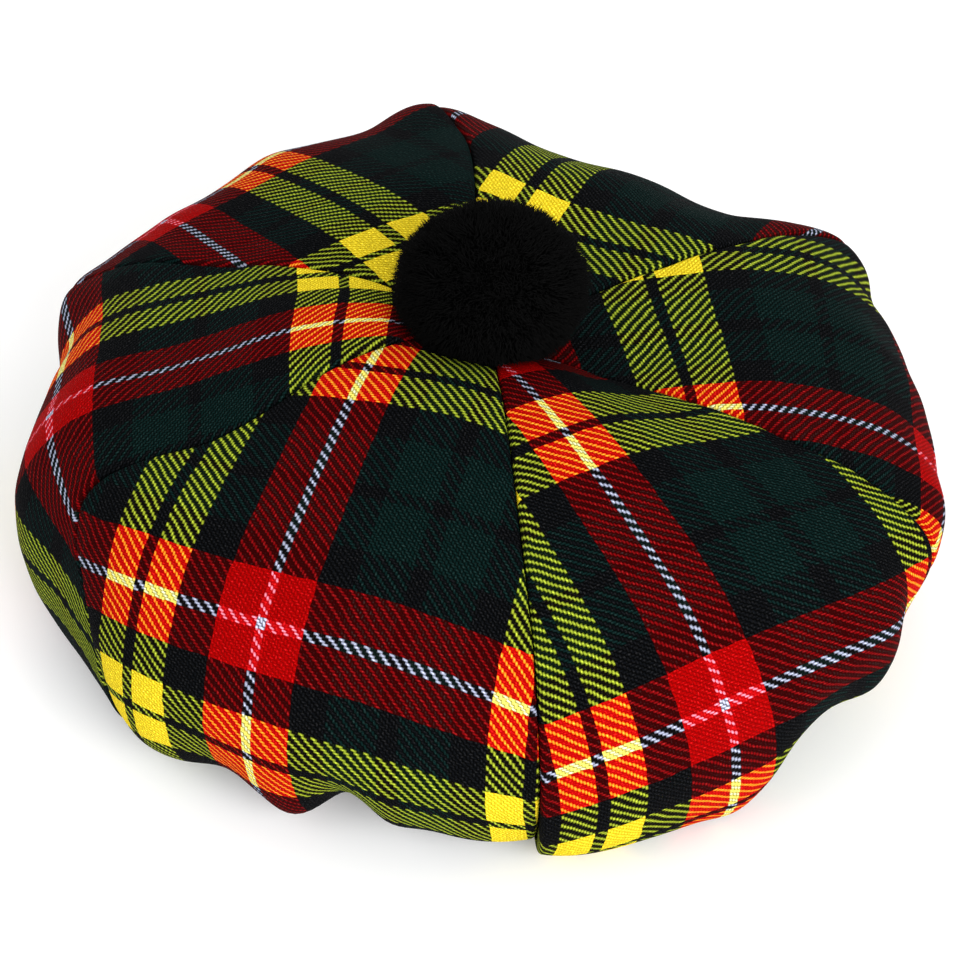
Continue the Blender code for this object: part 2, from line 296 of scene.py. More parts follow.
@dataclass(frozen=True)
class Crown:
    """The crown's outer face: meridians that run from the tie at the top to the headband."""

    axis_x: float = 2.2
    axis_y: float = 6.3
    tie_z: float = 88.0
    inner_r: float = 34.0
    outer_r: float = 92.0
    gather_r: float = 93.5
    gather_z: float = 25.0
    stations: int = 7
    fade_stations: float = 0.6
    puff: float = 2.0
    puff_power: float = 2.5
    puff_stations: tuple[float, ...] = (0.0, 0.6, 2.0, 4.0, 5.0, 6.0)
    puff_up: tuple[float, ...] = (0.0, 0.3, 1.0, 0.1, -0.5, 0.0)
    puff_out: tuple[float, ...] = (0.0, 0.0, 0.2, 1.0, 0.5, 0.0)
    sections: tuple[Section, ...] = (
        Section(6, 0, 0, 102, 96, 130, 79, 148, 42, 138, 9, 0),
        Section(36, 0, 0, 98, 97, 130, 80, 149, 46, 137, 7, 0),
        Section(65, -3, 0, 88, 91, 132, 76, 150, 60, 134, 14, 0),
        Section(94, 0, 0, 87, 86, 121, 71, 133, 50, 126, 14, 0),
        Section(124, -3, 0, 87, 83, 126, 66, 142, 49, 132, 14, 0),
        Section(155, 0, 0, 88, 79, 115, 62, 126, 42, 121, 14, 0),
        Section(188, -4, 0, 98, 89, 122, 74, 135, 54, 129, 16, 0),
        Section(217, 0, 0, 98, 86, 118, 72, 133, 52, 128, 14, 0),
        Section(246, 0, 0, 96, 83, 130, 67, 147, 47, 136, 12, 0),
        Section(270, 0, 0, 100, 88, 124, 76, 135, 56, 130, 12, 0),
        Section(306, -3, -7, 102, 95, 137, 81, 146, 58, 136, 8, 4),
        Section(336, 0, 0, 103, 97, 130, 80, 148, 44, 138, 11, 0),
    )
    folds: tuple[Fold, ...] = (
        Fold(284, 14, 3.8, 0.9, 7.0),
        Fold(289, 8, 4.4, 0.9, 3.5),
        Fold(315, 8, 4.8, 1.0, 4.0),
        Fold(257, 7, 3.9, 0.9, -4.5),
        Fold(246, 6, 3.8, 0.9, 3.5),
        Fold(215, 7, 3.3, 0.9, 3.0, 2.5),
        Fold(199, 5, 3.1, 0.8, -2.0, -1.0),
        Fold(189, 7, 3.2, 0.9, 2.5, 3.5),
        Fold(169, 11, 2.9, 1.0, -2.5, -3.5),
        Fold(141, 9, 3.2, 1.1, -3.0, -4.5),
        Fold(133, 5, 3.0, 0.9, -1.5, -1.0),
        Fold(123.5, 6, 3.7, 0.9, 3.0, 0.5),
        Fold(113, 6, 3.9, 1.0, -4.0),
        Fold(94, 7, 3.9, 1.0, 2.5),
        Fold(78, 5, 4.0, 0.9, -1.5),
        Fold(68, 9, 4.9, 0.7, -6.0, 4.0),
        Fold(59, 5, 4.1, 0.7, -5.0),
        Fold(51, 6, 4.9, 0.6, 9.0, 1.0),
        Fold(47, 9, 5.0, 0.9, -4.0, 14.0),
        Fold(40, 4, 4.8, 0.7, -1.0, 1.0),
        Fold(32, 5, 5.0, 0.7, 2.0, -3.0),
        Fold(352, 6, 5.0, 0.8, -1.0, 5.0, "gore_front_left"),
        Fold(342.5, 4.5, 5.0, 0.9, -5.0, 12.0),
        Fold(335, 4, 5.0, 0.7, 1.0, -2.0),
        Fold(326, 7, 5.0, 0.8, -2.0, 7.5),
        Fold(12, 11, 4.7, 1.3, 2.5, -3.0, "gore_front_right"),
        Fold(6, 9, 4.4, 1.4, -1.4, 1.8, "gore_front_left"),
    )

    @property
    def step(self) -> float:
        """Degrees between two sections, on average."""
        return 360.0 / len(self.sections)

    @staticmethod
    def around(values: list[float], position: Array) -> Array:
        """Read a closed ring of values smoothly (Catmull-Rom).

        Args:
            values: one value for each section.
            position: section positions, whole numbers being the sections.

        Returns:
            A value for each position.
        """
        ring = np.asarray(values, float)
        count = len(ring)
        index = np.floor(position).astype(int)
        t = position - index
        before, here = ring[(index - 1) % count], ring[index % count]
        after, beyond = ring[(index + 1) % count], ring[(index + 2) % count]
        slope = (after - before) * t
        curve = (2 * before - 5 * here + 4 * after - beyond) * t**2
        rest = (3 * here - before - 3 * after + beyond) * t**3
        return here + 0.5 * (slope + curve + rest)

    def stations_of(self, position: Array) -> tuple[Array, Array, Array]:
        """Azimuth, radius and height of every station.

        Args:
            position: section positions.

        Returns:
            Three arrays with a row for each position and a column for each station.
        """
        ones = np.ones_like(position)
        first = self.sections[0].azimuth
        drift = [s.azimuth - first - self.step * i for i, s in enumerate(self.sections)]
        at = {name: self.around([getattr(section, name) for section in self.sections], position)
              for name in Section._fields[1:]}
        rim = first + self.step * position + self.around(drift, position)
        top, brow, lip = (rim + at[name] for name in ("top_turn", "brow_turn", "lip_turn"))
        azimuths = (top, top, top, brow, rim, lip, 0.5 * (rim + lip))
        radii = (0 * ones, self.inner_r * ones, self.outer_r * ones, at["brow_r"], at["rim_r"],
                 at["lip_r"], self.gather_r * ones)
        heights = (self.tie_z * ones, at["inner_z"], at["outer_z"], at["brow_z"], at["rim_z"],
                   at["lip_z"], self.gather_z * ones)
        return np.stack(azimuths, -1), np.stack(radii, -1), np.stack(heights, -1)

    @staticmethod
    def along(values: Array, chords: Array, station: Array,
              start_slope: float | None = None) -> Array:
        """Read station values down the meridians smoothly (Hermite with chord tangents).

        Args:
            values: a row for each position and a column for each station.
            chords: distances between the stations.
            station: station coordinates, one for each position.
            start_slope: the tangent at the tie, or None for a free one.

        Returns:
            A value for each position.
        """
        slopes = np.diff(values, axis=1) / chords
        tangents = np.zeros_like(values)
        left, right = chords[:, :-1], chords[:, 1:]
        tangents[:, 1:-1] = (slopes[:, :-1] * right + slopes[:, 1:] * left) / (left + right)
        tangents[:, 0] = 2 * slopes[:, 0] - tangents[:, 1]
        tangents[:, -1] = 2 * slopes[:, -1] - tangents[:, -2]
        if start_slope is not None:
            tangents[:, 0] = start_slope
        row = np.arange(len(values))
        index = np.clip(np.floor(station).astype(int), 0, values.shape[1] - 2)
        t = station - index
        chord = chords[row, index]
        start, end = values[row, index], values[row, index + 1]
        leave, arrive = tangents[row, index] * chord, tangents[row, index + 1] * chord
        return ((2 * t**3 - 3 * t**2 + 1) * start + (t**3 - 2 * t**2 + t) * leave
                + (3 * t**2 - 2 * t**3) * end + (t**3 - t**2) * arrive)

    def points(self, gore: str | None, position: Array | float,
               station: Array | float) -> Array:
        """Points of the outer face.

        Args:
            gore: the gore, or None for the face without the folds of single gores.
            position: section positions.
            station: station coordinates.

        Returns:
            The points in millimetres.
        """
        position, station = np.broadcast_arrays(np.asarray(position, float), station)
        shape = position.shape
        position, station = position.ravel(), station.ravel()
        azimuths, radii, heights = self.stations_of(position)
        chords = np.hypot(np.diff(radii, axis=1), np.diff(heights, axis=1))
        azimuth = self.along(azimuths, chords, station)
        radius = self.along(radii, chords, station, start_slope=1.0)
        height = self.along(heights, chords, station, start_slope=0.0)

        across = 2.0 * ((position / 2.0) % 1.0) - 1.0
        puff = self.puff * (1.0 - np.abs(across) ** self.puff_power)
        radius = radius + puff * np.interp(station, self.puff_stations, self.puff_out)
        height = height + puff * np.interp(station, self.puff_stations, self.puff_up)

        held = np.clip((self.stations - 1 - station) / self.fade_stations, 0.0, 1.0)
        for fold in self.folds:
            if fold.gore not in (None, gore):
                continue
            turn = (azimuth - fold.azimuth + 180.0) % 360.0 - 180.0
            weight = np.exp(-(turn / fold.width) ** 2)
            weight = weight * np.exp(-((station - fold.station) / fold.reach) ** 2) * held
            radius = radius + fold.out * weight
            height = height + fold.up * weight

        angle = np.radians(azimuth)
        x = self.axis_x + radius * np.sin(angle)
        y = self.axis_y - radius * np.cos(angle)
        return np.stack([x, y, height], -1).reshape(*shape, 3)

    def height_at(self, x: Array, y: Array) -> Array:
        """Height of the face under the pompom.

        Args:
            x: places across the hat, in millimetres.
            y: places along it.

        Returns:
            The face's height at each place.
        """
        radius = np.hypot(x - self.axis_x, y - self.axis_y)
        azimuth = np.degrees(np.arctan2(x - self.axis_x, self.axis_y - y))
        position = (azimuth - self.sections[0].azimuth) / self.step % len(self.sections)
        return self.points(None, position, radius / self.inner_r)[..., 2]


# --- Finishes ---


class Yarn(Enum):
    """The tartan's yarns by their letters in a thread count, as sRGB hex colours.

    They are green, black, red, yellow and white.
    """

    G = "122b25"
    K = "171415"
    R = "b4060a"
    Y = "ecd936"
    W = "f6f0fa"


class Sett(Enum):
    """Thread counts of the stripes: across the gores, and outwards along them."""

    ACROSS = "W2 R12 K11 G16 K6 G16 K11 Y12 K4 Y12 K14 R13 W1"
    OUTWARDS = "K15 G21 K6 G21 K15 R16 W4 R16 K17 Y16 K4 Y16"

    @property
    def stripes(self) -> list[tuple[Yarn, int]]:
        """The yarn and the number of threads of each stripe."""
        return [(Yarn[stripe[0]], int(stripe[1:])) for stripe in self.value.split()]

    @property
    def threads(self) -> int:
        """Threads in one repeat."""
        return sum(threads for _, threads in self.stripes)


@dataclass(frozen=True)
class TartanTwill:
    """Worsted wool woven in 2/2 twill: matt, with fine diagonal ribs and a soft fuzz.

    The pattern map counts threads, so one unit of it is one thread of about 0.9 mm. Light and
    shade are painted into the colour: a thread takes painted light from the threads that cross
    it, so yellow is duller and greener among black ones than among its own, the low places
    between the threads get painted shade, and the tops of the floats get painted highlights.
    """

    relief: float = 0.26
    roughness: float = 0.85
    specular: float = 0.02
    crest_painted_light: Triple = (0.40, 0.60, 0.75)
    hollow_painted_shade: Triple = (0.05, 0.08, 0.08)
    hollow_bounce_share: float = 0.95
    float_depth: float = 0.92
    float_lean: float = 0.42
    fibre_scale: float = 2.1
    glint_scale: float = 1.3
    glint_from: float = 0.5
    glint_to: float = 0.78
    glint_strength: float = 1.4
    glint_colour: Triple = (0.010, 0.009, 0.008)
    sharpness: float = 2.3
    pale_painted_light: Triple = (0.40, 0.45, 0.55)
    pale_bounce_gain: Triple = (0.25, 0.30, 0.33)
    pale_shares: Triple = (0.12, 0.4, 0.9)
    red_glow: Triple = (0.7, -0.38, -0.45)
    yellow_glow: Triple = (0.03, 0.03, -0.36)
    white_glow: Triple = (0.0, 0.05, 3.5)
    red_bounce_light: Triple = (0.05, -0.006, -0.006)
    shading: float = 0.8
    green_off_red: float = 1.2
    proud_by_red: float = 2.2
    yarn_unevenness: float = 0.16
    fibre_unevenness: float = 0.95
    waver: float = 0.9
    waver_scale: float = 0.16
    fibre_relief: float = 0.35
    fibre_roughness: float = 0.12
    darkest: float = 0.0003

    @staticmethod
    def stripe_colour(graph: Graph, sett: Sett, thread: Socket) -> Socket:
        """Colour of a thread from its number in the sett.

        Args:
            graph: the material's nodes.
            sett: the order of the stripes.
            thread: the thread's number.

        Returns:
            The colour's socket.
        """
        turns = graph.math("DIVIDE", graph.math("ADD", thread, 0.5), float(sett.threads))
        colour = graph.add("ValToRGB", (graph.math("FRACT", turns),))
        ramp = colour.node.color_ramp
        ramp.interpolation = "CONSTANT"
        ramp.elements.remove(ramp.elements[1])
        start = 0
        for yarn, threads in sett.stripes:
            stop = ramp.elements.new(start / sett.threads) if start else ramp.elements[0]
            stop.color = linear(yarn.value)
            start += threads
        return colour

    @staticmethod
    def rounding(graph: Graph, place: Socket) -> Socket:
        """Round profile that is one in the middle and zero at both ends.

        Args:
            graph: the material's nodes.
            place: a place from zero to one.

        Returns:
            The profile's socket.
        """
        rise = graph.math("MULTIPLY", place, graph.math("SUBTRACT", 1.0, place))
        return graph.math("SQRT", graph.math("MULTIPLY", rise, 4.0))

    def material(self) -> bpy.types.Material:
        """Build the cloth's material.

        Returns:
            The material, to be used with the pattern map "cloth".
        """
        graph = Graph("tartan wool twill")
        math_of, vector = graph.math, graph.vector

        # Which thread a point is on, and how far across it. The threads are not quite straight.
        cloth = graph.add("UVMap", uv_map="cloth")
        waver = graph.noise(cloth, self.waver_scale, 1.0).node.outputs["Color"]
        waver = graph.scaled(vector("SUBTRACT", waver, (0.5, 0.5, 0.5)), self.waver)
        ways = graph.add("SeparateXYZ", (vector("ADD", cloth, waver),)).node.outputs[:2]
        thread_u, thread_v = (math_of("FLOOR", way) for way in ways)
        part_u, part_v = (math_of("FRACT", way) for way in ways)

        # 2/2 twill: each thread passes over two and under two, one step on from its neighbour.
        step = math_of("FLOORED_MODULO", math_of("SUBTRACT", thread_u, thread_v), 4.0)
        on_top = math_of("LESS_THAN", step, 1.5)
        across = graph.mix(on_top, part_v, part_u)
        over = math_of("ADD", math_of("SUBTRACT", 1.0, step), part_v)
        under = math_of("ADD", math_of("SUBTRACT", step, 2.0), part_u)
        along = math_of("MULTIPLY", graph.mix(on_top, under, over), 0.5)
        arch = math_of("MULTIPLY_ADD", self.rounding(graph, along), self.float_depth,
                       1.0 - self.float_depth)

        # A float leans towards the next one of its rib, so that the ribs look like cords.
        middle = math_of("SUBTRACT", along, 0.5)
        across = math_of("MULTIPLY_ADD", middle, -self.float_lean, across)
        height = math_of("MULTIPLY", self.rounding(graph, across), arch)
        crest = math_of("POWER", height, 2.0)

        # Wool fuzz, and yarns that take the dye a little unevenly.
        fibre = graph.noise(cloth, self.fibre_scale, 3.0, Roughness=0.65)
        dye_u, dye_v = (graph.add("TexWhiteNoise", {"W": thread}, noise_dimensions="1D")
                        for thread in (thread_u, math_of("ADD", thread_v, 500.0)))
        light = math_of("MULTIPLY", *(
            math_of("MULTIPLY_ADD", noise, amount, 1.0 - 0.5 * amount)
            for noise, amount in ((graph.mix(on_top, dye_v, dye_u), self.yarn_unevenness),
                                  (fibre, self.fibre_unevenness))))

        outwards = self.stripe_colour(graph, Sett.OUTWARDS, thread_v)
        crosswise = self.stripe_colour(graph, Sett.ACROSS, thread_u)
        yarn = graph.mix_colours(on_top, outwards, crosswise)
        other = graph.mix_colours(on_top, crosswise, outwards)
        # Painted shade in the low places between threads, and painted light from the crossing
        # thread.
        low, high = (
            vector("MULTIPLY_ADD", other, tuple((1.0 - part) * share for part in tint), tint)
            for tint, share in ((self.hollow_painted_shade, self.hollow_bounce_share), (self.crest_painted_light, 1.0)))
        tint = graph.mix_colours(math_of("POWER", height, self.sharpness), low, high)

        # Painted light from neighbouring threads: white wool is painted bright among any threads
        # and brighter on its crests. Pale threads take painted light in the colour of red and
        # yellow ones, and yellow threads are painted paler among white ones.
        own, near = (graph.add("SeparateXYZ", (colour,)).node.outputs for colour in (yarn, other))
        redness = math_of("MULTIPLY_ADD", near["Y"], -self.green_off_red, near["X"],
                          use_clamp=True)
        yellow, own_yellow = (math_of("SUBTRACT", part["Y"], part["Z"], use_clamp=True)
                              for part in (near, own))
        pale = vector("MULTIPLY_ADD", other, self.pale_bounce_gain, self.pale_painted_light)
        least, by_yellow, on_crest = self.pale_shares
        glow = math_of("MULTIPLY_ADD", yellow, by_yellow, least)
        glow = math_of("MULTIPLY_ADD", crest, on_crest, glow)
        tint = graph.mix_colours(own["Z"], tint, graph.scaled(pale, glow))
        for share, amount, glow in ((redness, own["Y"], self.red_glow),
                                    (yellow, own["Z"], self.yellow_glow),
                                    (own_yellow, near["Z"], self.white_glow)):
            glow = graph.scaled(glow, math_of("MULTIPLY", share, amount))
            tint = vector("ADD", tint, glow)

        # Bright floats stand proud of the dark threads between them and shade them.
        sunk = math_of("MULTIPLY_ADD", own["X"], -self.proud_by_red, 1.0, use_clamp=True)
        shade = math_of("MULTIPLY", sunk, math_of("SQRT", near["X"]))
        shade = math_of("MULTIPLY_ADD", shade, -self.shading, 1.0)
        shaded = vector("MULTIPLY", yarn, graph.scaled(tint, shade))

        # Painted highlights: specks of light on top of the floats, where loose fibres catch it.
        ends = graph.noise(cloth, self.glint_scale, 2.0)
        ends = graph.add("MapRange", (ends, self.glint_from, self.glint_to, 0.0, self.glint_strength))
        ends = math_of("MULTIPLY", ends, crest)
        shaded = graph.scaled(shaded, math_of("ADD", light, ends))
        # Painted glints, and painted red light that red threads throw into the dark gaps beside
        # them.
        painted_glints_and_bounce = vector("ADD", graph.scaled(self.glint_colour, ends),
                       graph.scaled(self.red_bounce_light, redness))
        shaded = vector("MAXIMUM", vector("ADD", shaded, painted_glints_and_bounce), (self.darkest,) * 3)

        relief = math_of("MULTIPLY_ADD", fibre, self.fibre_relief, height)
        rough = math_of("MULTIPLY_ADD", fibre, self.fibre_roughness,
                        self.roughness - 0.5 * self.fibre_roughness)
        graph.set(Base_Color=shaded, Normal=graph.relief(relief, self.relief), Roughness=rough,
                  Specular_IOR_Level=self.specular)
        return graph.material


@dataclass(frozen=True)
class PlainWeave:
    """Black cotton in plain weave for the headband: matt and finely checked."""

    colour: str = "101012"
    pitch: float = 0.7
    relief: float = 0.18
    roughness: float = 0.9
    specular: float = 0.15

    def material(self) -> bpy.types.Material:
        """Build the band cloth's material.

        Returns:
            The material, whose pattern map "cloth" is in millimetres.
        """
        graph = Graph("black cotton plain weave")
        cloth = graph.add("UVMap", uv_map="cloth")
        ways = graph.add("SeparateXYZ", (cloth,)).node.outputs[:2]
        waves = [graph.math("SINE", graph.math("MULTIPLY", way, math.pi / self.pitch))
                 for way in ways]
        height = graph.math("ABSOLUTE", graph.math("MULTIPLY", *waves))
        fibre = graph.noise(cloth, 2.2, 3.0, Roughness=0.6)
        # Painted shade in the low places of the weave, and fibres that make the black uneven.
        light = graph.math("MULTIPLY", graph.math("MULTIPLY_ADD", height, 0.5, 0.55),
                           graph.math("MULTIPLY_ADD", fibre, 0.5, 0.75))
        graph.set(Base_Color=graph.scaled(linear(self.colour)[:3], light),
                  Normal=graph.relief(height, self.relief), Roughness=self.roughness,
                  Specular_IOR_Level=self.specular)
        return graph.material


@dataclass(frozen=True)
class CutYarn:
    """Cut black wool yarn: very dark and soft, a little lighter and darker from lock to lock."""

    colour: str = "060606"
    lock: float = 1.6
    roughness: float = 0.75
    specular: float = 0.05

    def material(self) -> bpy.types.Material:
        """Build the pompom yarn's material."""
        graph = Graph("cut black wool yarn")
        place = graph.add("TexCoord").node.outputs["Object"]
        uneven = graph.add("TexNoise", {"Vector": place, "Scale": 1.0 / (self.lock * MM),
                                        "Detail": 2.0})
        light = graph.math("MULTIPLY_ADD", uneven, 1.2, 0.4)
        graph.set(Base_Color=graph.scaled(linear(self.colour)[:3], light),
                  Roughness=self.roughness, Specular_IOR_Level=self.specular)
        return graph.material


# --- Pieces of the hat ---


@dataclass(frozen=True)
class Gore:
    """One gore: a panel of tartan whose edges turn inwards to the seams.

    line_u is where the white line that runs outwards lies from the gore's middle, at the
    distances line_at from the tie. edge_v is where the outer edge of the first yellow stripe
    lies from the tie, at the distances edge_at from the middle. Both bend as parabolas. The
    cloth is eased and stretched as it is sewn, so its threads have three widths across the gore
    and three widths outwards. All of these are in millimetres. fans says how much the stripes
    widen in 100 mm: those that run outwards, and those that cross them.
    """

    name: str
    index: int
    line_u: Triple
    edge_v: Triple
    widths_u: Triple
    widths_v: Triple
    fans: tuple[float, float]
    line_at: Triple = (40.0, 110.0, 180.0)
    edge_at: Triple = (-50.0, 0.0, 50.0)
    reach_u: float = 75.0
    reach_v: tuple[float, float] = (20.0, 210.0)
    lean_angle: float = 30.0
    ease_at: tuple[float, ...] = (0, 118, 150, 185, 215, 260)
    ease_by: tuple[float, ...] = (1, 1, 0, 0, -0.9, -0.9)
    places_u: Triple = (-40.0, 0.0, 40.0)
    places_v: Triple = (-40.0, 20.0, 80.0)
    thread: float = 0.9
    thickness: float = 1.3
    seam_r: float = 1.7
    seam_gap: float = 0.25
    seam_share: float = 0.16
    allowance: float = 5.0
    wide_waves: float = 0.55
    close_waves: float = 0.16
    puckers: float = 0.22
    pucker_reach: float = 0.12
    gathers: float = 11.0
    gather_depth: float = 1.1
    tie_hole_r: float = 3.0
    inside_z: float = 40.0
    columns: int = 84
    rows: int = 160
    columns_closer: float = 0.82
    seam_columns: int = 5
    station_shares: tuple[float, ...] = (0.0, 0.13, 0.36, 0.52, 0.68, 0.84, 1.0)

    def grid(self, crown: Crown) -> tuple[Array, Array]:
        """Lay the panel over the crown, between its seams.

        Args:
            crown: the crown's shape.

        Returns:
            The points, and the pattern's coordinates in threads.
        """
        rows = np.interp(np.linspace(0.0, 1.0, self.rows + 1), self.station_shares,
                         range(crown.stations))
        rows[0] = self.tie_hole_r / crown.inner_r
        middle = 2 * self.index + 1

        # Half the panel's width at each row, and the round of its turned edge.
        ends = middle + np.array([[-1.0], [1.0]])
        spread = crown.points(self.name, ends, rows) - crown.points(self.name, middle, rows)
        width = np.linalg.norm(spread, axis=-1)
        turn_r = np.minimum(self.seam_r, self.seam_share * width.min(0))
        inset = 1.0 - (turn_r + 0.5 * self.seam_gap) / width

        # The columns lie closer together towards the seams.
        share = np.linspace(-1.0, 1.0, self.columns + 1)
        share = np.sin(share * 0.5 * math.pi * self.columns_closer)
        share = share / share[-1]
        across = share[:, None] * np.where(share[:, None] < 0, inset[0], inset[1])
        panel = crown.points(self.name, middle + across, rows)
        pattern, lean = self.pattern_map(crown, across, rows)
        panel = panel + self.unevenness(crown, panel, across, rows)

        # The edges turn in on a small round and stand inside as seam allowances, which are
        # trimmed near the tie and near the headband.
        down = self.allowance * np.clip((turn_r - 0.5) / 1.0, 0.0, 1.0)
        down = down * np.clip((crown.stations - 1.9 - rows) / 0.5, 0.06, 1.0)
        sides, maps = [], []
        for side, column in ((-1, 0), (1, -1)):
            inward, towards = self.seam_frame(crown, middle + side, rows, side)
            start, flat, angle = panel[column], pattern[column], lean[column]
            turned, mapped = [], []
            for step in range(1, self.seam_columns + 1):
                phi = 0.5 * math.pi * step / self.seam_columns
                out = (turn_r * math.sin(phi))[:, None] * towards
                drop = (turn_r * (1.0 - math.cos(phi)))[:, None] * inward
                turned.append(start + out + drop)
                mapped.append(turn_r * phi)
            for part in (0.35, 1.0):
                turned.append(turned[self.seam_columns - 1] + (down * part)[:, None] * inward)
                mapped.append(turn_r * 0.5 * math.pi + down * part)
            step_uv = np.stack([np.cos(angle), -np.sin(angle)], -1) * side
            flats = [flat + reach[:, None] * step_uv / self.thread for reach in mapped]
            order = slice(None, None, -1) if side < 0 else slice(None)
            sides.append(np.stack(turned)[order])
            maps.append(np.stack(flats)[order])
        return (np.concatenate([sides[0], panel, sides[1]]),
                np.concatenate([maps[0], pattern, maps[1]]))

    def seam_frame(self, crown: Crown, position: float, rows: Array,
                   side: int) -> tuple[Array, Array]:
        """Directions at a seam that both of its gores share.

        Args:
            crown: the crown's shape.
            position: the seam's section position.
            rows: station coordinates.
            side: -1 for the gore's first edge, 1 for its last.

        Returns:
            The direction into the hat, and the one across the seam away from the gore.
        """
        reach = 0.03
        before, here, after = (crown.points(None, position + step, rows)
                               for step in (-reach, 0.0, reach))
        down = unit(np.gradient(here, axis=0))
        across = unit(after - before)
        outward = unit(np.cross(down, across))
        from_middle = here - (0.0, 0.0, self.inside_z)
        facing = (outward * from_middle).sum(-1, keepdims=True)
        outward = outward * np.where(facing > 0.0, 1.0, -1.0)
        towards = unit(across - (across * down).sum(-1, keepdims=True) * down)
        return -outward, towards * side

    def pattern_map(self, crown: Crown, across: Array, rows: Array) -> tuple[Array, Array]:
        """Lay the tartan on the panel as it is cut: flat at the top, eased in under the rim.

        Args:
            crown: the crown's shape.
            across: place across the gore, from -1 to 1, for each column and row.
            rows: station coordinates.

        Returns:
            Pattern coordinates in threads, and the angle of the pattern to the meridian.
        """
        middle = 2 * self.index + 1
        start = crown.points(self.name, middle + across[:, :1], 0.0)
        points = crown.points(self.name, middle + across, rows)
        steps = np.linalg.norm(np.diff(points, axis=1), axis=-1)
        first = np.linalg.norm(points[:, :1] - start, axis=-1)
        length = np.concatenate([first, first + np.cumsum(steps, axis=1)], axis=1)
        ease = np.interp(length, self.ease_at, self.ease_by)
        lean = np.radians(self.lean_angle) * across * ease
        v = np.cumsum(np.diff(length, axis=1, prepend=0.0) * np.cos(lean), axis=1)

        # The crossing threads keep their length, so u is measured along them from the middle.
        u = np.zeros_like(v)
        half = len(across) // 2
        for order in (range(half, len(across) - 1), range(half, 0, -1)):
            for here in order:
                there = here + order.step
                level = v[there]
                back = np.stack([np.interp(level, v[here], points[here, :, axis])
                                 for axis in range(3)], -1)
                reach = np.linalg.norm(points[there] - back, axis=-1)
                u[there] = np.interp(level, v[here], u[here]) + reach * order.step
        held_v, held_u = np.clip(v, *self.reach_v), np.clip(u, -self.reach_u, self.reach_u)
        along_u = u - np.polyval(np.polyfit(self.line_at, self.line_u, 2), held_v)
        along_v = v - np.polyval(np.polyfit(self.edge_at, self.edge_v, 2), held_u)
        along_u = along_u / (1.0 + self.fans[0] * (held_v - self.line_at[1]) / 100.0)
        along_v = along_v / (1.0 + self.fans[1] * (held_u - self.edge_at[1]) / 100.0)
        threads = [self.count_threads(along_u, self.places_u, self.widths_u),
                   self.count_threads(along_v, self.places_v, self.widths_v)]
        return np.stack(threads, -1), lean

    @staticmethod
    def count_threads(distance: Array, places: Triple, widths: Triple) -> Array:
        """Turn distances to thread counts.

        Args:
            distance: distances in millimetres from the start of the sett.
            places: distances at which the widths are given.
            widths: a thread's width at each of them.

        Returns:
            How many threads lie up to each distance.
        """
        fine = np.arange(-250.0, 300.0, 0.5)
        threads = np.cumsum(0.5 / np.interp(fine, places, widths))
        return np.interp(distance, fine, threads) - np.interp(0.0, fine, threads)

    def unevenness(self, crown: Crown, panel: Array, across: Array, rows: Array) -> Array:
        """Soft waves of the cloth, small puckers by the seams and gathers at the headband.

        Args:
            crown: the crown's shape.
            panel: the panel's points.
            across: place across the gore for each column and row.
            rows: station coordinates.

        Returns:
            How far each point moves.
        """
        outward, _ = outward_of(panel, len(rows) // 4)
        x, y, z = np.moveaxis(panel, -1, 0)
        wide = soft_noise(x / 26.0 + z / 31.0, y / 26.0 - z / 37.0, self.index + 0.5)
        close = soft_noise(x / 9.0, y / 9.0 + z / 11.0, self.index + 2.5)
        edge = np.exp(-(1.0 - np.abs(across)) / self.pucker_reach)
        held = np.clip((crown.stations - 1.0 - rows) / 1.2, 0.0, 1.0) * np.clip(rows, 0.0, 1.0)
        amount = self.wide_waves * wide + self.close_waves * close + self.puckers * edge * close
        amount = amount * held

        gathered = np.clip((rows - 5.1) / 0.5, 0.0, 1.0) * np.clip((6.0 - rows) / 0.25, 0.0, 1.0)
        ripple = across * math.pi * self.gathers + 0.8 * np.sin(across * 9.0 + self.index)
        amount = amount + self.gather_depth * gathered * np.sin(ripple) * (1.0 - edge)
        return outward * amount[..., None]

    def build(self, crown: Crown, material: bpy.types.Material) -> None:
        """Build the gore in place of its CAD node.

        Args:
            crown: the crown's shape.
            material: the tartan.
        """
        face, pattern = self.grid(crown)
        outward, flipped = outward_of(face, self.rows // 4)
        back = face - self.thickness * outward
        if not flipped:
            face, back, pattern = face[::-1], back[::-1], pattern[::-1]
        mesh = cloth_sheet(self.name + "_cloth", face, back, pattern)
        add_piece(mesh, material, "tartan_cloth", self.name)


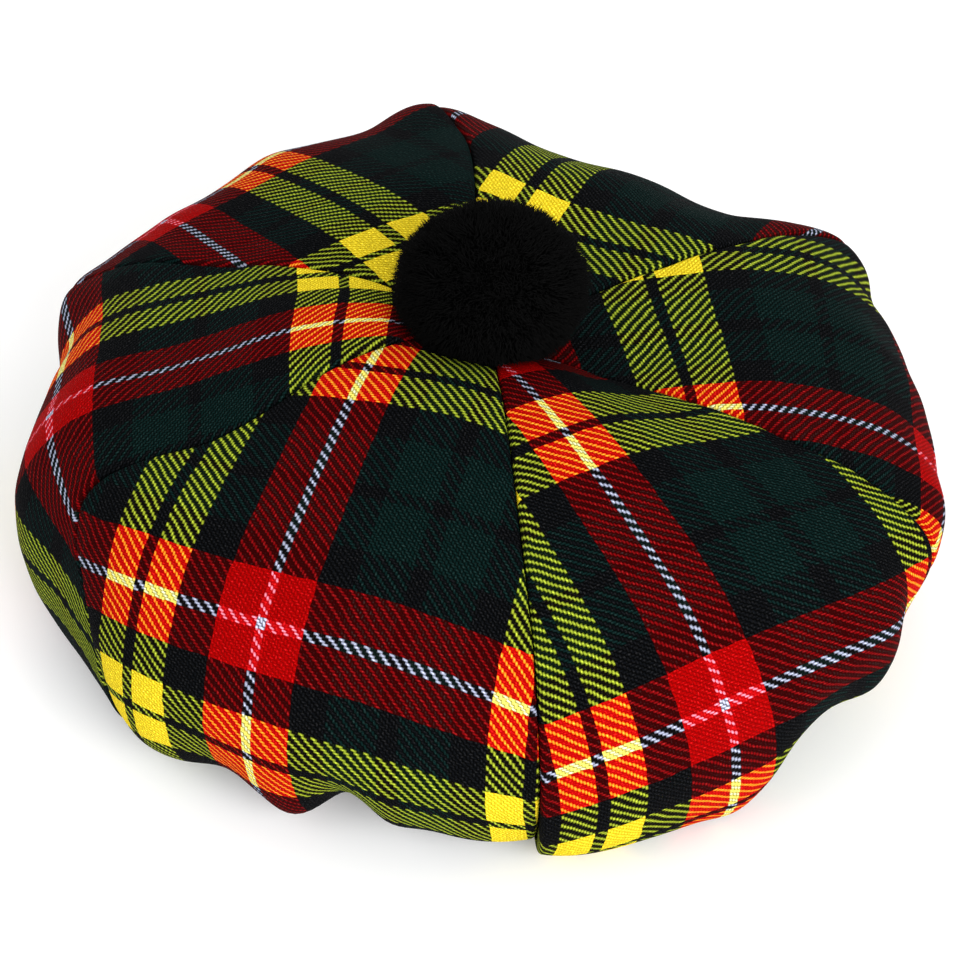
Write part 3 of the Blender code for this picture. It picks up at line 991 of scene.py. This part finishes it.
@dataclass(frozen=True)
class Headband:
    """A strip of black cloth round the head, folded double at its lower edge."""

    axis_x: float = 2.2
    axis_y: float = 6.3
    inner_r: float = 90.6
    outer_r: float = 93.1
    height: float = 27.8
    top_gap: float = 0.6
    fold_z: float = 2.0
    thickness: float = 0.9
    segments: int = 288
    rise_rows: int = 12
    fold_rows: int = 9

    def build(self, material: bpy.types.Material) -> None:
        """Build the band in place of its CAD node.

        Args:
            material: the band's cloth.
        """
        turn = np.linspace(0.0, 2.0 * math.pi, self.segments + 1)[:, None]
        middle, half = 0.5 * (self.inner_r + self.outer_r), 0.5 * (self.outer_r - self.inner_r)
        rise = np.linspace(self.height - self.top_gap, self.fold_z, self.rise_rows)
        profile = [(half, z) for z in rise]
        profile += [(half * math.cos(a), half - half * math.sin(a))
                    for a in np.linspace(0.0, math.pi, self.fold_rows)]
        profile += [(-half, z) for z in rise[::-1]]
        offsets, heights = np.array(profile).T
        wave = 0.3 * np.sin(turn * 9.0) + 0.2 * np.sin(turn * 23.0 + 1.0)
        level = np.clip(heights / self.height, 0.0, 1.0)
        radius = middle + offsets + wave * level * (1.0 - level)
        radius = np.clip(radius, self.inner_r, self.outer_r)
        normal = unit(np.stack([np.gradient(heights), -np.gradient(offsets)], -1))
        inner = radius + self.thickness * normal[:, 0]
        inner_z = heights + self.thickness * normal[:, 1]
        face, back = (
            np.stack([self.axis_x + r * np.sin(turn), self.axis_y - r * np.cos(turn),
                      np.broadcast_to(z, r.shape)], -1)
            for r, z in ((radius, heights), (inner, inner_z)))
        along = np.cumsum(np.hypot(np.diff(offsets, prepend=offsets[0]),
                                   np.diff(heights, prepend=heights[0])))
        pattern = np.stack(np.meshgrid(turn * middle, along, indexing="ij"), -1)
        mesh = cloth_sheet("headband_cloth", face, back, pattern, closed=True)
        add_piece(mesh, material, "band_cloth", "headband")


@dataclass(frozen=True)
class Pompom:
    """A ball of cut yarn: thousands of fine tapered strands on a dark core."""

    centre_x: float = 3.6
    centre_y: float = 6.3
    centre_z: float = 108.0
    radius: float = 30.4
    flatness: float = 0.76
    bend_at: float = 0.17
    core_share: float = 0.84
    root_share: float = 0.75
    strands: int = 24000
    strand_r: float = 0.30
    tufts: float = 0.24
    strays: float = 0.16
    raggedness: float = 0.7
    seat_gap: float = 0.5
    seed: int = 7

    def build(self, crown: Crown, material: bpy.types.Material) -> None:
        """Build the pompom in place of its CAD node.

        Args:
            crown: the crown, which it sits on.
            material: the yarn.
        """
        count = self.strands
        random = np.random.default_rng(self.seed)
        index = np.arange(count) + 0.5
        tilt = np.arccos(1.0 - 2.0 * index / count)
        swing = math.pi * (1.0 + math.sqrt(5.0)) * index
        out = np.stack([np.sin(tilt) * np.cos(swing), np.sin(tilt) * np.sin(swing),
                        np.cos(tilt)], -1)
        out = unit(out + random.normal(0.0, 0.025, out.shape))

        # Neighbouring strands lean together in tufts.
        tuft = np.stack([soft_noise(out[:, 0] * 6.0, out[:, 1] * 6.0 + out[:, 2] * 5.0, s)
                         for s in (0.3, 1.9, 3.1)], -1)
        lean = unit(out + self.tufts * tuft + random.normal(0.0, self.strays, out.shape))
        long = soft_noise(out[:, 0] * 4.0 + 2.0, out[:, 1] * 4.0 + out[:, 2] * 4.0, 4.4)
        reach = self.radius * (1.0 + 0.014 * long)
        reach = reach + random.normal(0.0, self.raggedness, count)

        side = unit(np.cross(lean, random.normal(0.0, 1.0, out.shape)))
        other = np.cross(lean, side)
        root = out * self.radius * self.root_share
        bend = root + (lean * 0.55 + out * 0.45) * (reach * self.bend_at)[:, None]
        tip = root + lean * (reach - self.radius * self.root_share)[:, None]
        rings = []
        for centre, size in ((root, 1.0), (bend, 0.85)):
            for corner in range(3):
                angle = 2.0 * math.pi * corner / 3.0
                rings.append(centre + self.strand_r * size
                             * (math.cos(angle) * side + math.sin(angle) * other))
        rings.append(tip)
        strands = np.stack(rings, 1)
        pattern = [(0, 2, 1), (3, 4, 6), (4, 5, 6), (5, 3, 6), (0, 1, 4, 3), (1, 2, 5, 4),
                   (2, 0, 3, 5)]

        core = bmesh.new()
        bmesh.ops.create_icosphere(core, subdivisions=5, radius=self.radius * self.core_share)
        core.verts.index_update()
        core_points = np.array([vertex.co for vertex in core.verts])
        core_faces = [[vertex.index for vertex in face.verts] for face in core.faces]
        core.free()

        points = np.concatenate([strands.reshape(-1, 3), core_points])
        points[:, 2] *= self.flatness
        points += (self.centre_x, self.centre_y, self.centre_z)
        seat = crown.height_at(points[:, 0], points[:, 1]) + self.seat_gap
        off_axis = np.hypot(points[:, 0] - crown.axis_x, points[:, 1] - crown.axis_y)
        points[:, 2] = np.where(points[:, 2] < seat, seat + 0.02 * off_axis, points[:, 2])
        faces = [tuple(len(rings) * n + corner for corner in face) for n in range(count)
                 for face in pattern]
        faces += [tuple(len(rings) * count + corner for corner in face) for face in core_faces]
        mesh = bpy.data.meshes.new("pompom_yarn")
        mesh.from_pydata((points * MM).tolist(), [], faces)
        mesh.shade_smooth()
        add_piece(mesh, material, "pompom_yarn", "pompom")


# --- Studio ---


def aim_from(data: bpy.types.ID, place: Triple, target: Triple) -> bpy.types.Object:
    """Put a light or a camera in the scene.

    Args:
        data: the light or the camera.
        place: where it stands, in metres.
        target: what it points at.

    Returns:
        Its object.
    """
    stand = bpy.data.objects.new(data.name, data)
    stand.location = place
    aim = Vector(target) - Vector(place)
    stand.rotation_euler = aim.to_track_quat("-Z", "Y").to_euler()
    bpy.context.scene.collection.objects.link(stand)
    return stand


@dataclass(frozen=True)
class Softbox:
    """A large soft light that points at the hat."""

    name: str
    place: Triple
    size: float
    power: float
    target: Triple = (0.0, 0.0, 0.06)

    def build(self) -> None:
        """Add the light."""
        light = bpy.data.lights.new(self.name, "AREA")
        light.shape = "SQUARE"
        light.size = self.size
        light.energy = self.power
        aim_from(light, self.place, self.target)


@dataclass(frozen=True)
class Studio:
    """A plain pale floor, soft lights and the photograph's camera."""

    floor_size: float = 6.0
    floor_colour: str = "f7f7f7"
    floor_glow: float = 0.12
    sky_strength: float = 0.78
    camera_at: Triple = (0.0008, -0.8435, 0.8819)
    camera_aim: Triple = (0.0, 0.0006, 0.0298)
    lens: float = 141.7
    lights: tuple[Softbox, ...] = (
        Softbox("key softbox", (0.9, -1.6, 1.1), 1.2, 38.0),
        Softbox("fill softbox", (-1.2, -0.8, 1.6), 1.2, 7.0),
        Softbox("back softbox", (0.2, 1.4, 1.6), 1.4, 8.0),
    )

    def build(self) -> None:
        """Add the floor, the lights, the sky and the camera."""
        scene = bpy.context.scene
        bpy.ops.mesh.primitive_plane_add(size=self.floor_size, location=(0.0, 0.0, 0.0))
        floor = bpy.context.object
        floor.name = "studio_floor"
        paper = Graph("matt white paper")
        paper.set(Base_Color=linear(self.floor_colour), Roughness=0.95, Specular_IOR_Level=0.1,
                  Emission_Color=(1.0, 1.0, 1.0, 1.0), Emission_Strength=self.floor_glow)
        floor.data.materials.append(paper.material)

        sky = bpy.data.worlds.new("studio sky")
        sky.use_nodes = True
        background = sky.node_tree.nodes["Background"]
        background.inputs["Color"].default_value = (1.0, 1.0, 1.0, 1.0)
        background.inputs["Strength"].default_value = self.sky_strength
        scene.world = sky
        scene.view_settings.view_transform = "Standard"
        for light in self.lights:
            light.build()

        lens = bpy.data.cameras.new("photo camera")
        lens.lens = self.lens
        lens.sensor_width = 36.0
        lens.clip_start = 0.05
        scene.camera = aim_from(lens, self.camera_at, self.camera_aim)


GORES = (
    Gore("gore_front_right", 0, (-13.4, -19.6, -19.8), (78.3, 84.0, 87.5),
         (0.84, 0.88, 1.02), (0.87, 0.83, 0.86), (0.22, -0.07)),
    Gore("gore_right", 1, (-42.0, -41.5, -39.0), (80.5, 73.8, 70.0),
         (0.84, 0.84, 0.98), (0.89, 0.88, 0.91), (0.14, 0.34)),
    Gore("gore_back", 2, (53.6, 56.8, 59.7), (77.5, 70.2, 66.5),
         (0.96, 0.93, 0.92), (0.78, 0.84, 0.86), (0.0, 0.17)),
    Gore("gore_back_left", 3, (43.0, 40.0, 34.0), (45.6, 54.2, 72.0),
         (0.88, 0.81, 0.81), (0.73, 0.66, 1.07), (-0.18, -0.25)),
    Gore("gore_left", 4, (8.6, 19.4, 32.0), (58.8, 64.3, 69.0),
         (1.04, 0.80, 0.96), (0.89, 0.76, 0.98), (0.34, -0.23)),
    Gore("gore_front_left", 5, (-21.0, -15.4, -11.2), (71.0, 62.9, 57.5),
         (0.93, 0.94, 0.93), (0.85, 0.80, 0.85), (0.12, 0.08)),
)


def main() -> None:
    """Build the hat and the studio."""
    logging.basicConfig(level=logging.INFO, format="%(name)s: %(message)s")
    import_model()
    Studio().build()
    crown = Crown()
    tartan = TartanTwill().material()
    for gore in GORES:
        gore.build(crown, tartan)
    Headband().build(PlainWeave().material())
    Pompom().build(crown, CutYarn().material())


if __name__ == "__main__":
    main()
